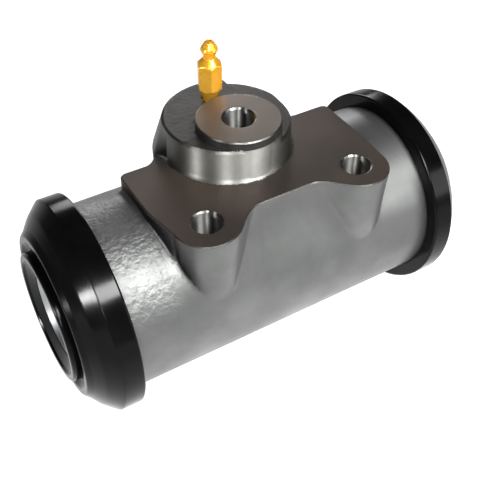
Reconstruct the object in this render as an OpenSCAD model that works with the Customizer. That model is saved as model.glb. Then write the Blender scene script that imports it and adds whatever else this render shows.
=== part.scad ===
// Double-ended hydraulic wheel cylinder for a drum brake.
// The frame has its origin on the mounting face, midway between the two bolt holes.
// +X runs along the bore, +Z points out of the mounting face, and +Y from the bolts to the bore.

/* [Barrel] */
// Outside diameter of the barrel
barrel_d = 68; // [64:0.5:76]
// Diameter of the bore that the pistons run in
bore_d = 50.8; // [46:0.1:54]
// Length of the barrel between its machined ends
barrel_len = 135; // [125:1:150]
// Chamfer on the outside edges of the barrel's ends
end_chamfer = 1.2; // [0.5:0.1:2]
// Lead-in chamfer at the mouths of the bore
bore_chamfer = 1.2; // [0.5:0.1:2]
// Width of the groove that holds a boot's bead
boot_groove_w = 4; // [3:0.1:5]
// Depth of the groove that holds a boot's bead
boot_groove_depth = 2; // [1:0.1:2.5]
// Width of the land between that groove and the barrel's end
boot_groove_land = 2.5; // [2:0.1:4]

/* [Mounting pad] */
// Height of the mounting face above the bore's axis
pad_height = 38; // [36:0.5:44]
// Distance between the two mounting bolts
bolt_spacing = 59; // [54:0.5:66]
// Distance of the bolt line in front of the bore's axis
bolt_offset = 22; // [20:0.5:24]
// How far the bolts sit to the right of the barrel's middle
bolt_shift = 1.8; // [0:0.1:4]
// Tapping diameter of the bolt holes
bolt_hole_d = 10.2; // [8:0.1:11]
// Depth of the bolt holes, without the drill point
bolt_hole_depth = 15; // [10:0.5:16]
// Radius of the lug round each bolt hole
lug_r = 11.7; // [10:0.1:12]
// How far the wall between the lugs stands in front of the bolt line
recess_step = 0.8; // [0.2:0.1:2]
// How far the pad's left side stands out past the lug
pad_left_extra = 2.6; // [0:0.1:5]
// How far the pad's right side stands out past the lug
pad_right_extra = 0.8; // [0:0.1:5]
// Distance behind the bolt line at which the sides reach their full width
pad_side_run = 14; // [8:0.5:20]
// Distance of the pad's back edge behind the bore's axis
pad_back = 14; // [10:0.5:18]
// Radius of the pad's back corners
pad_corner_r = 3; // [1:0.5:5]
// Radius between a lug and the recessed wall
lug_blend_r = 8; // [4:0.5:10]
// Radius between the recessed wall and the barrel
wall_blend_r = 14; // [6:0.5:18]
// Radius between the pad's back wall and the barrel
back_blend_r = 6; // [3:0.5:8]

/* [Port spigot] */
// Diameter of the spigot that locates in the backing plate
spigot_d = 45; // [40:0.5:48]
// Height of the spigot above the mounting face
spigot_h = 12.5; // [10:0.5:16]
// Distance of the spigot's axis behind the bore's axis
spigot_back = 11.2; // [9:0.1:12]
// Place of the spigot along the bore, from the barrel's middle
spigot_shift = -1; // [-6:0.5:6]
// Radius at the foot of the spigot
spigot_fillet = 2; // [1:0.1:3]
// Chamfer on the spigot's rim
spigot_chamfer = 0.6; // [0.2:0.1:1]
// Diameter, at the mounting face, of the tapered boss behind the pad
boss_d = 53; // [50:0.5:56]
// Distance behind the pad's back edge at which the boss starts above the mounting face
boss_step = 1; // [0.5:0.5:4]
// How far the boss's flat back stays inside the barrel's back
boss_flush = 0.2; // [0.1:0.1:1]
// Radius in plan between the pad's back edge and the boss
flare_r = 5; // [3:0.5:8]
// Drop of the unmachined sector of the spigot's top
relief_drop = 2; // [1:0.1:3]
// Distance from the spigot's axis to that sector
relief_from = 10; // [8:0.5:14]

/* [Fluid port] */
// Diameter of the raised sealing land
land_d = 29.6; // [26:0.2:32]
// Height of the sealing land above the spigot
land_h = 3.2; // [2:0.1:4]
// Distance of the port's axis behind the bore's axis
port_back = 3.2; // [2:0.1:5]
// Tapping diameter of the inlet port
port_d = 11; // [9:0.1:12]
// Depth of the port's threaded wall below the land
port_depth = 12; // [10:0.5:14]
// Chamfer at the mouth of the port
port_chamfer = 0.5; // [0.2:0.1:1]
// Diameter of the drilling from the port to the bore
feed_d = 3.5; // [2:0.1:5]

/* [Bleeder screw] */
// Thread diameter of the bleeder
bleed_thread_d = 6.3; // [5:0.1:7]
// Distance of the bleeder's axis behind the bore's axis
bleed_back = 23; // [22.5:0.1:24]
// Place of the bleeder along the bore, from the spigot's axis
bleed_shift = 0; // [-4:0.5:4]
// Depth of the bleeder's threaded hole
bleed_depth = 13; // [10:0.5:16]
// Diameter of the drilling from the bleeder's seat to the bore
bleed_feed_d = 2.4; // [1.5:0.1:3]
// Width across the flats of the hexagon
hex_af = 8; // [7:0.1:9]
// Angle of the hexagon when the screw is shut
hex_turn = 9; // [0:1:59]
// Height of the cone below the hexagon
foot_h = 4; // [2:0.5:6]
// Height of the hexagon
hex_h = 10; // [6:0.5:14]
// Height of the tapered shoulder above the hexagon
shoulder_h = 2; // [1:0.1:4]
// Diameter of the hose neck
neck_d = 4.4; // [3.5:0.1:5]
// Height of the hose neck
neck_h = 1.1; // [0.6:0.1:3]
// Diameter of the hose nipple
nipple_d = 6.2; // [5.5:0.1:7]
// Height of the hose nipple
nipple_h = 5.2; // [4:0.1:8]
// Height of the nipple's barb, from the neck to its widest part
barb_h = 2; // [1:0.1:3]
// Diameter of the nipple's tip
nipple_tip_d = 3.4; // [3:0.1:5]
// Diameter of the drilling up the screw
bleed_bore_d = 2; // [1:0.1:2.4]
// Diameter of the cross drilling above the seat
cross_hole_d = 1.8; // [1:0.1:2.2]
// Depth of the run-out where the thread meets the cone
thread_runout = 0.5; // [0.2:0.1:0.8]
// Height of the chamfers on the hexagon's corners
hex_chamfer = 0.5; // [0.3:0.1:1]

/* [Pistons] */
// Length of a piston's skirt
skirt_len = 32; // [26:0.5:36]
// Distance of the skirt's outer end inside the barrel's end
skirt_inset = 5.5; // [3:0.5:8]
// Chamfer on the skirt's edges
skirt_chamfer = 1; // [0.3:0.1:2]
// Diameter of the nose that takes the brake shoe
nose_d = 35; // [32:0.5:38]
// How far the nose stands out of the barrel's end
nose_out = 9; // [8:0.5:12]
// Diameter of the socket for the push rod
socket_d = 24; // [18:0.5:25]
// Depth of the socket's round wall
socket_depth = 22; // [16:0.5:30]
// Chamfer at the socket's mouth
socket_chamfer = 3.5; // [0.5:0.1:4]
// Width of the groove for the boot's inner bead
nose_groove_w = 3.4; // [2:0.1:4]
// Depth of the groove for the boot's inner bead
nose_groove_depth = 2.4; // [1.5:0.1:3]
// Length of the collar outside that groove
nose_lip = 1.8; // [1:0.1:3]
// Drop of that collar below the nose
nose_lip_drop = 1.4; // [0.5:0.1:2]

/* [Cups and spring] */
// Length of a rubber cup from its back to its lip
cup_len = 14; // [11:0.5:16]
// Thickness of the cup's back
cup_back = 4; // [3:0.5:6]
// Thickness of the cup's side at the lip
cup_lip_t = 2.6; // [2:0.1:4]
// Thickness of the cup's side at the back
cup_root_t = 4.6; // [4:0.1:6]
// Sheet thickness of a cup expander
expander_t = 1.2; // [0.8:0.1:1.6]
// Depth of the expander's dish
expander_depth = 8; // [5:0.5:9]
// Wire diameter of the return spring
wire_d = 2.4; // [1.6:0.1:3]
// Mean diameter of the return spring
coil_d = 22; // [18:0.5:26]
// Number of working coils
coils = 6; // [4:1:9]

/* [Boots] */
// Width of the bead band round the barrel
band_w = 7; // [6:0.5:10]
// Thickness of the bead band
band_t = 5.2; // [4:0.1:7]
// Rounding of the boot's lip
lip_round = 0.8; // [0.3:0.1:1.2]
// Reach of the band past the barrel's end
band_over = 1.8; // [0:0.1:3]
// Step from the band down to the flank
band_step = 1; // [0.5:0.1:2]
// Thickness of the boot's flank
flank_t = 3.2; // [2.5:0.1:4]
// How far the shoulder stands out of the barrel's end
shoulder_out = 8; // [7:0.5:12]
// Drop of the shoulder's edge below the barrel's outside
shoulder_drop = 2.8; // [1:0.1:5]
// How far the shoulder's nose stands beyond its edge
shoulder_nose = 1.8; // [1:0.1:3]
// How far the hub's rim stands out of the barrel's end
hub_out = 12; // [11:0.1:16]
// Diameter of the hub's rim
hub_d = 47.4; // [44:0.2:50]
// Rounding of the hub's rim
hub_round = 1.2; // [0.6:0.1:1.6]
// Depth of the ring-shaped hollow between shoulder and hub
hollow_depth = 3.4; // [2:0.1:5]
// Diameter of the mouth inside the hub's rim
mouth_d = 41; // [39:0.2:43]

/* [Fits] */
// Radial clearance of a running or threaded fit
running_gap = 0.05; // [0.02:0.01:0.1]
// Clearance round the rubber beads
rubber_gap = 0.15; // [0.1:0.05:0.3]

/* [Hidden] */
$fn = 96;
// Overlap that joins two shapes or carries a cut past a face
over = 1;
// How far the ends of a blend run into the walls it joins, so that the surfaces cross
blend_sink = 0.15;
// Height above the bore's axis at which the pad's walls end inside the barrel
pad_root = 1;
barrel_r = barrel_d / 2;
bore_r = bore_d / 2;
// The barrel's middle and its ends; what sits on the bore is measured from the middle
mid_x = -bolt_shift;
end_x = barrel_len / 2;
// Boot grooves of the barrel, measured along the bore
groove_out_x = end_x - boot_groove_land;
groove_in_x = groove_out_x - boot_groove_w;
groove_r = barrel_r - boot_groove_depth;
// Plan of the pad
lug_x = bolt_spacing / 2;
pad_left = lug_x + lug_r + pad_left_extra;
pad_right = lug_x + lug_r + pad_right_extra;
back_y = bolt_offset + pad_back;
spigot_r = spigot_d / 2;
spigot_x = mid_x + spigot_shift;
spigot_y = bolt_offset + spigot_back;
// The boss's flat back clears the spigot and stays inside the barrel's back where it can
boss_r = boss_d / 2;
boss_back_y = max(bolt_offset + barrel_r - boss_flush, spigot_y + spigot_r + boss_flush);
port_y = bolt_offset + port_back;
land_z = spigot_h + land_h;
// Drill points have an included angle of 118 degrees
drill_tip = 1 / tan(59);
bolt_r = bolt_hole_d / 2;
port_r = port_d / 2;
feed_r = feed_d / 2;
// Bleeder and its seat, a cone of 90 degrees
bleed_r = bleed_thread_d / 2;
bleed_feed_r = bleed_feed_d / 2;
bleed_at = [spigot_x + bleed_shift, bolt_offset + bleed_back, spigot_h];
// Pistons along the bore
piston_r = bore_r - running_gap;
skirt_out_x = end_x - skirt_inset;
skirt_in_x = skirt_out_x - skirt_len;
nose_r = nose_d / 2;
nose_x = end_x + nose_out;
seat_out_x = nose_x - nose_lip;
seat_in_x = seat_out_x - nose_groove_w;
seat_r = nose_r - nose_groove_depth;
nose_lip_r = nose_r - nose_lip_drop;
socket_r = socket_d / 2;
socket_x = nose_x - socket_depth;
// Cups, expanders and spring along the bore
cup_lip_x = skirt_in_x - cup_len;
cup_floor_x = skirt_in_x - cup_back;
cup_r = bore_r - running_gap;
expander_x = cup_floor_x - expander_t;
wire_r = wire_d / 2;
coil_r = coil_d / 2;
expander_floor_r = coil_r + wire_r + expander_t;
expander_rim_x = expander_x - expander_depth;
spring_half = expander_x - running_gap;
// Boots along the bore
band_in_x = end_x - band_w;
band_r = barrel_r + band_t;
flank_r = band_r - band_step;
shoulder_r = barrel_r - shoulder_drop;
shoulder_x = end_x + shoulder_out;
hub_r = hub_d / 2;
hub_x = end_x + hub_out;
mouth_r = mouth_d / 2;
hollow_x = shoulder_x + shoulder_nose - hollow_depth;
bead_r = seat_r + rubber_gap;
bead_in_x = seat_in_x + rubber_gap;
bead_out_x = seat_out_x - rubber_gap;
throat_r = nose_lip_r + rubber_gap;
boot_bore_r = barrel_r + rubber_gap;

// Distance in plan from a round wall's centre to the centre of a fillet that touches it and a
// straight wall, which lies `reach` beyond that centre
function fillet_run(round_r, fillet_r, reach) = sqrt(pow(round_r + fillet_r, 2) - pow(reach + fillet_r, 2));

// Turns a profile drawn as [radius, distance along the bore] about the bore's axis
module turned_on_bore() {
    translate([mid_x, bolt_offset, -pad_height])
        rotate([0, 90, 0])
            rotate_extrude()
                children();
}

// Places the mirror image of an end's piece at the other end of the barrel
module left_hand() {
    translate([2 * mid_x, 0, 0])
        mirror([1, 0, 0])
            children();
}

// Fills the corner between a straight wall at `wall_y` and a round wall about the origin
module plan_fillet(round_r, fillet_r, wall_y) {
    foot_r = round_r - blend_sink;
    foot_y = wall_y - blend_sink;
    run = fillet_run(foot_r, fillet_r, foot_y);
    touch = [run, foot_y + fillet_r] * (foot_r / (foot_r + fillet_r));
    difference() {
        polygon([[0, 0], [run, 0], [run, foot_y], touch]);
        translate([run, foot_y + fillet_r])
            circle(r = fillet_r);
    }
}

// Fills the corner between an upright wall `wall_u` from the bore's axis and the barrel
module barrel_blend(wall_u, blend_r) {
    centre_u = wall_u + blend_r;
    foot_r = barrel_r - blend_sink;
    centre_v = sqrt(pow(foot_r + blend_r, 2) - pow(centre_u, 2));
    touch = [centre_u, centre_v] * (foot_r / (foot_r + blend_r));
    corner_v = sqrt(pow(barrel_r, 2) - pow(wall_u, 2));
    difference() {
        polygon([[wall_u - over, centre_v], [wall_u, centre_v], touch,
            touch * (1 - over / barrel_r), [wall_u - over, corner_v - over]]);
        translate([centre_u, centre_v])
            circle(r = blend_r);
    }
}

module blend_bar(from_x, to_x) {
    translate([from_x, bolt_offset, -pad_height])
        rotate([90, 0, 90])
            linear_extrude(height = to_x - from_x)
                children();
}

// Points of a quarter round at a back corner of the pad whose side lies at `edge_x`
function corner_round(edge_x, side) = [for (turn = [0 : 15 : 90])
    [edge_x - side * pad_corner_r * (1 - cos(turn)), back_y - pad_corner_r * (1 - sin(turn))]];

function reversed(list) = [for (i = [len(list) - 1 : -1 : 0]) list[i]];

module pad_outline() {
    lug_side = lug_x + lug_r;
    polygon(concat([[-pad_left, pad_side_run], [-lug_side, 0], [-lug_x, -recess_step], [lug_x, -recess_step],
        [lug_side, 0], [pad_right, pad_side_run]], corner_round(pad_right, 1),
        reversed(corner_round(-pad_left, -1))));
    for (side = [-1, 1]) {
        translate([side * lug_x, 0])
            circle(r = lug_r);
        translate([side * lug_x, 0])
            mirror([side > 0 ? 1 : 0, 0])
                mirror([0, 1])
                    plan_fillet(lug_r, lug_blend_r, recess_step);
        translate([spigot_x, spigot_y])
            mirror([side > 0 ? 0 : 1, 0])
                plan_fillet(boss_r, flare_r, back_y - spigot_y);
    }
    intersection() {
        translate([spigot_x, spigot_y])
            circle(r = boss_r);
        boss_plan(spigot_y - boss_r);
    }
}

// Plan of what lies behind `front_y` and in front of the boss's flat back
module boss_plan(front_y) {
    translate([spigot_x - boss_r - over, front_y])
        square([boss_d + 2 * over, boss_back_y - front_y]);
}

module barrel() {
    turned_on_bore()
        polygon([[0, -end_x], [barrel_r - end_chamfer, -end_x], [barrel_r, end_chamfer - end_x],
            [barrel_r, -groove_out_x], [groove_r, -groove_out_x], [groove_r, -groove_in_x],
            [barrel_r, -groove_in_x], [barrel_r, groove_in_x], [groove_r, groove_in_x],
            [groove_r, groove_out_x], [barrel_r, groove_out_x], [barrel_r, end_x - end_chamfer],
            [barrel_r - end_chamfer, end_x], [0, end_x]]);
}

module pad() {
    translate([0, 0, pad_root - pad_height])
        linear_extrude(height = pad_height - pad_root)
            pad_outline();
    blend_bar(-lug_x, lug_x)
        mirror([1, 0])
            barrel_blend(bolt_offset + recess_step, wall_blend_r);
    blend_bar(pad_corner_r - pad_left, pad_right - pad_corner_r)
        barrel_blend(pad_back, back_blend_r);
}

module spigot_foot() {
    intersection() {
        translate([spigot_x, spigot_y, 0])
            rotate_extrude()
                difference() {
                    translate([spigot_r - over, -over])
                        square([spigot_fillet + over, spigot_fillet + over]);
                    translate([spigot_r + spigot_fillet, spigot_fillet])
                        circle(r = spigot_fillet);
                }
        translate([0, 0, -over])
            linear_extrude(height = spigot_fillet + 2 * over)
                pad_outline();
    }
}

// The boss keeps its taper behind the pad, where the spigot's wall isn't turned
module tapered_boss() {
    slope = (boss_r - spigot_r) / spigot_h;
    intersection() {
        translate([spigot_x, spigot_y, -over])
            cylinder(r1 = boss_r + slope * over, r2 = spigot_r, h = spigot_h + over);
        translate([0, 0, -over])
            linear_extrude(height = spigot_h + over)
                boss_plan(back_y + boss_step);
    }
}

module spigot() {
    difference() {
        union() {
            translate([spigot_x, spigot_y, 0])
                rotate_extrude()
                    polygon([[0, -over], [spigot_r - over, -over], [spigot_r, 0],
                        [spigot_r, spigot_h - spigot_chamfer], [spigot_r - spigot_chamfer, spigot_h],
                        [0, spigot_h]]);
            tapered_boss();
        }
        translate([spigot_x + relief_from, spigot_y - boss_r, spigot_h - relief_drop])
            cube([boss_r, boss_d, relief_drop + over]);
    }
    spigot_foot();
    translate([spigot_x, port_y, 0])
        cylinder(d = land_d, h = land_z);
}

module bolt_hole() {
    rotate_extrude()
        polygon([[0, over], [bolt_r, over], [bolt_r, -bolt_hole_depth],
            [0, -bolt_hole_depth - bolt_r * drill_tip]]);
}

module port_hole() {
    mouth = port_r + port_chamfer;
    rotate_extrude()
        polygon([[0, over], [mouth, over], [mouth, 0], [port_r, -port_chamfer], [port_r, -port_depth],
            [feed_r, -port_depth - (port_r - feed_r) * drill_tip], [feed_r, -pad_height - land_z],
            [0, -pad_height - land_z]]);
}

module bleed_hole() {
    rotate_extrude()
        polygon([[0, over], [bleed_r, over], [bleed_r, -bleed_depth],
            [bleed_feed_r, -bleed_depth - bleed_r + bleed_feed_r], [bleed_feed_r, -pad_height - spigot_h],
            [0, -pad_height - spigot_h]]);
}

module bore() {
    mouth = bore_r + bore_chamfer;
    turned_on_bore()
        polygon([[0, -end_x - over], [mouth, -end_x - over], [mouth, -end_x], [bore_r, bore_chamfer - end_x],
            [bore_r, end_x - bore_chamfer], [mouth, end_x], [mouth, end_x + over], [0, end_x + over]]);
}

module cylinder_body() {
    color("dimgray")
        difference() {
            union() {
                barrel();
                pad();
                spigot();
            }
            bore();
            for (side = [-1, 1])
                translate([side * lug_x, 0, 0])
                    bolt_hole();
            translate([spigot_x, port_y, land_z])
                port_hole();
            translate(bleed_at)
                bleed_hole();
        }
}

module piston() {
    skirt = [[0, skirt_in_x], [piston_r - skirt_chamfer, skirt_in_x], [piston_r, skirt_in_x + skirt_chamfer],
        [piston_r, skirt_out_x - skirt_chamfer], [piston_r - skirt_chamfer, skirt_out_x]];
    nose = [[nose_r, skirt_out_x], [nose_r, seat_in_x], [seat_r, seat_in_x], [seat_r, seat_out_x],
        [nose_lip_r, seat_out_x], [nose_lip_r, nose_x]];
    socket = [[socket_r + socket_chamfer, nose_x], [socket_r, nose_x - socket_chamfer], [socket_r, socket_x],
        [0, socket_x - socket_r * drill_tip]];
    color("darkslategray")
        turned_on_bore()
            polygon(concat(skirt, nose, socket));
}

module left_piston() {
    left_hand()
        piston();
}

module right_piston() {
    piston();
}

module cup() {
    color("black")
        turned_on_bore()
            polygon([[0, skirt_in_x], [cup_r - skirt_chamfer, skirt_in_x],
                [cup_r, skirt_in_x - skirt_chamfer],
                [cup_r, cup_lip_x], [cup_r - cup_lip_t, cup_lip_x], [cup_r - cup_root_t, cup_floor_x],
                [0, cup_floor_x]]);
}

module left_cup() {
    left_hand()
        cup();
}

module right_cup() {
    cup();
}

// The dish presses the lip outwards, so its rim stays a rubber clearance inside the cup's side
module cup_expander() {
    rim_depth = cup_floor_x - expander_rim_x;
    rim_r = cup_r - cup_root_t + (cup_root_t - cup_lip_t) * rim_depth / (cup_len - cup_back) - rubber_gap;
    color("slategray")
        turned_on_bore()
            polygon([[coil_r - wire_r, expander_x], [expander_floor_r, expander_x],
                [rim_r - expander_t, expander_rim_x], [rim_r, expander_rim_x],
                [expander_floor_r + expander_t, cup_floor_x], [coil_r - wire_r, cup_floor_x]]);
}

module left_cup_expander() {
    left_hand()
        cup_expander();
}

module right_cup_expander() {
    cup_expander();
}

// Place along the bore of the wire's centre after `turn` turns: one closed coil at each end
function spring_x(turn) = let(
        closed = wire_d + running_gap,
        first = wire_r - spring_half,
        pitch = -2 * (first + closed) / coils
    )
    turn < 1 ? first + closed * turn
    : turn < 1 + coils ? first + closed + pitch * (turn - 1)
    : -first - closed + closed * (turn - 1 - coils);

module return_spring() {
    sides = 8;
    steps = 20;
    rings = steps * (coils + 2);
    points = [for (ring = [0 : rings], side = [0 : sides - 1]) let(
            turn = ring * 360 / steps,
            across = coil_r + wire_r * cos(side * 360 / sides)
        ) [mid_x + spring_x(ring / steps) + wire_r * sin(side * 360 / sides),
            bolt_offset + across * cos(turn), across * sin(turn) - pad_height]];
    walls = [for (ring = [0 : rings - 1], side = [0 : sides - 1]) let(next = (side + 1) % sides)
        [ring * sides + side, ring * sides + next, (ring + 1) * sides + next, (ring + 1) * sides + side]];
    first_cap = [for (side = [sides - 1 : -1 : 0]) side];
    last_cap = [for (side = [0 : sides - 1]) rings * sides + side];
    color("lightsteelblue")
        polyhedron(points, concat([first_cap], walls, [last_cap]));
}

// Half section of a boot, as [radius, distance along the bore]
module boot_section() {
    groove_gap = groove_r + rubber_gap;
    inner_shoulder_r = shoulder_r - flank_t;
    inner_shoulder_x = shoulder_x - flank_t;
    outside = [[boot_bore_r, band_in_x], [band_r - lip_round, band_in_x], [band_r, band_in_x + lip_round],
        [band_r, end_x + band_over - band_step], [flank_r, end_x + band_over], [shoulder_r, shoulder_x],
        [shoulder_r - shoulder_nose, shoulder_x + shoulder_nose],
        [hub_r + hollow_depth, shoulder_x + shoulder_nose], [hub_r, hollow_x]];
    hub = [[hub_r, hub_x - hub_round], [hub_r - hub_round, hub_x], [mouth_r + hub_round, hub_x],
        [mouth_r, hub_x - hub_round], [throat_r, nose_x], [throat_r, bead_out_x], [bead_r, bead_out_x],
        [bead_r, bead_in_x]];
    inside = [[nose_r + rubber_gap, bead_in_x], [inner_shoulder_r, inner_shoulder_x],
        [boot_bore_r, end_x + over], [boot_bore_r, groove_out_x - rubber_gap],
        [groove_gap, groove_out_x - rubber_gap], [groove_gap, groove_in_x + rubber_gap],
        [boot_bore_r, groove_in_x + rubber_gap]];
    polygon(concat(outside, hub, inside));
}

module boot() {
    color("#161616")
        turned_on_bore()
            boot_section();
}

module left_boot() {
    left_hand()
        boot();
}

module right_boot() {
    boot();
}

// The screw above and below its hexagon is turned; heights are from the spigot's top
module bleeder_screw() {
    hex_r = hex_af / 2 / cos(30);
    shank_r = bleed_r - running_gap;
    foot_r = shank_r - thread_runout;
    flat_r = hex_af / 2;
    seat_z = -bleed_depth - running_gap;
    tip_r = bleed_feed_r - running_gap;
    hex_top = foot_h + hex_h;
    neck_z = hex_top + shoulder_h;
    nipple_z = neck_z + neck_h;
    top_z = nipple_z + nipple_h;
    neck_r = neck_d / 2;
    nipple_r = nipple_d / 2;
    color("goldenrod")
        translate(bleed_at)
            difference() {
                union() {
                    rotate_extrude()
                        polygon([[0, seat_z - shank_r + tip_r], [tip_r, seat_z - shank_r + tip_r],
                            [shank_r, seat_z], [shank_r, -2 * thread_runout], [foot_r, -thread_runout],
                            [foot_r, 0], [flat_r, foot_h], [flat_r, hex_top], [neck_r, neck_z],
                            [neck_r, nipple_z], [nipple_r, nipple_z + barb_h], [nipple_tip_d / 2, top_z],
                            [0, top_z]]);
                    intersection() {
                        rotate([0, 0, hex_turn])
                            cylinder(r = hex_r, h = hex_top + over, $fn = 6);
                        rotate_extrude()
                            polygon([[0, foot_h - over], [flat_r - over / 2, foot_h - over],
                                [hex_r, foot_h + hex_chamfer], [hex_r, hex_top - hex_chamfer],
                                [flat_r, hex_top], [0, hex_top]]);
                    }
                }
                translate([0, 0, -bleed_depth])
                    cylinder(d = bleed_bore_d, h = bleed_depth + top_z + over);
                translate([0, 0, bleed_bore_d / 2 - bleed_depth])
                    rotate([0, 90, hex_turn])
                        cylinder(d = cross_hole_d, h = bleed_thread_d + over, center = true);
            }
}

cylinder_body();
left_piston();
right_piston();
left_cup();
right_cup();
left_cup_expander();
right_cup_expander();
return_spring();
left_boot();
right_boot();
bleeder_screw();
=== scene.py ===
"""Looks of a double-ended drum-brake wheel cylinder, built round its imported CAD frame.

The frame is in metres. The pieces are drawn in millimetres and scaled when they become meshes.
"""

import logging
import math
from dataclasses import dataclass, field
from enum import Enum, IntEnum
from typing import Any, Callable, Sequence

import bpy
import numpy as np
from bpy.types import Material, Mesh, Node, NodeSocket, NodeTree, Object, World
from mathutils import Matrix, Vector


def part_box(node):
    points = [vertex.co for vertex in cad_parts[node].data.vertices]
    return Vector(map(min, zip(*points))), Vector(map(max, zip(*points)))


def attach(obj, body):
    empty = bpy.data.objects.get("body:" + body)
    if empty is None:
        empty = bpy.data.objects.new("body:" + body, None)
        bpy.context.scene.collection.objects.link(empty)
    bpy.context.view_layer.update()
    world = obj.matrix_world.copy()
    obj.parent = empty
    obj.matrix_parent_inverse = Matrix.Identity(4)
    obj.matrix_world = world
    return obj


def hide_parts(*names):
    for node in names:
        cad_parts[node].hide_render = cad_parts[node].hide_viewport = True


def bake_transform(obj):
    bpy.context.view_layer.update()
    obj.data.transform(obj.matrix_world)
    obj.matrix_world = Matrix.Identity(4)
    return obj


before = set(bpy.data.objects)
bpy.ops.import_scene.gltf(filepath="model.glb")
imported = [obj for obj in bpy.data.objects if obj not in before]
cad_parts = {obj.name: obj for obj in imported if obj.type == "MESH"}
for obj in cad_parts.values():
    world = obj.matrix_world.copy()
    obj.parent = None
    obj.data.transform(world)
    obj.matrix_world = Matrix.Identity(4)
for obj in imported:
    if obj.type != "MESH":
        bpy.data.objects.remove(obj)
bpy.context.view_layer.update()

Array = np.ndarray
Field = Callable[[Array], Array]
Pair = tuple[float, float]
Place = tuple[float, float, float]

MM = 0.001
TINY = 1e-9
SQRT_HALF = math.sqrt(0.5)
# Half the angle of a drill's point, and in degrees half the angle between a hexagon's flats
DRILL_HALF = math.radians(59)
HEX_HALF = 30
# The upright axis of the boss, which the turning and facing marks run round
BOSS_AXIS = (-2.8, 33.2, 0.0)
# A wave texture repeats 20 times in a length of two pi
WAVE_PERIOD = math.tau / 20
WAVE_WANDER = 0.6
WAVE_DETAIL = 2.0
GRAIN_DETAIL = 3.0
GRAIN_ROUGHNESS = 0.55
DRIFT_DETAIL = 4.0
# Most of a noise's values lie in this range
NOISE_RANGE = (0.3, 0.7)
WHITE = (1, 1, 1, 1)
# Mesh attribute that tells how deep in an inner corner a point lies, by which painted shade darkens the
# cast iron there
PAINTED_SHADE_ATTRIBUTE = "corner"
LOG = logging.getLogger("wheel_cylinder")


class Side(IntEnum):
    """An end of the barrel, with its direction along the bore."""

    LEFT = -1
    RIGHT = 1

    @property
    def word(self) -> str:
        """The name that the frame's nodes and bodies use for this end."""
        return self.name.lower()


class Skin(IntEnum):
    """How a face of the casting was made; the numbers are its material slots."""

    CAST = 0
    FACED = 1
    SKIMMED = 2
    TURNED = 3
    DRILLED = 4
    HONED = 5
    LAND = 6


class Marks(Enum):
    """What tooling or moulding left on a surface."""

    GRAIN = "grain"
    RINGS = "rings"
    BANDS = "bands"
    SAND = "sand"


def linear(code: str) -> tuple[float, float, float, float]:
    """Turns an sRGB hex colour to linear light.

    Args:
        code: The colour as #rrggbb.

    Returns:
        Red, green, blue and an alpha of 1.
    """
    parts = [int(code[i:i + 2], 16) / 255 for i in (1, 3, 5)]
    light = [c / 12.92 if c <= 0.04045 else ((c + 0.055) / 1.055) ** 2.4 for c in parts]
    return light[0], light[1], light[2], 1.0


def blank_tree(owner: Material | World) -> NodeTree:
    """Empties the node tree of a material or a world.

    Args:
        owner: The material or world.

    Returns:
        Its tree, without nodes.
    """
    owner.use_nodes = True
    owner.node_tree.nodes.clear()
    return owner.node_tree


def add_node(tree: NodeTree, kind: str, inputs: dict | Sequence = (),
             **settings: Any) -> Node:
    """Adds a shader node with its settings and links.

    Args:
        tree: The node tree to add it to.
        kind: The node's type, without its ShaderNode prefix.
        inputs: What goes into the inputs, by name, by number or in order: a value, a socket, or a
            node that gives its first output.
        **settings: The node's own properties.

    Returns:
        The new node.
    """
    node = tree.nodes.new("ShaderNode" + kind)
    for name, value in settings.items():
        setattr(node, name, value)
    for key, value in inputs.items() if isinstance(inputs, dict) else enumerate(inputs):
        if isinstance(value, Node):
            value = value.outputs[0]
        if isinstance(value, NodeSocket):
            tree.links.new(value, node.inputs[key])
        else:
            node.inputs[key].default_value = value
    return node


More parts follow.
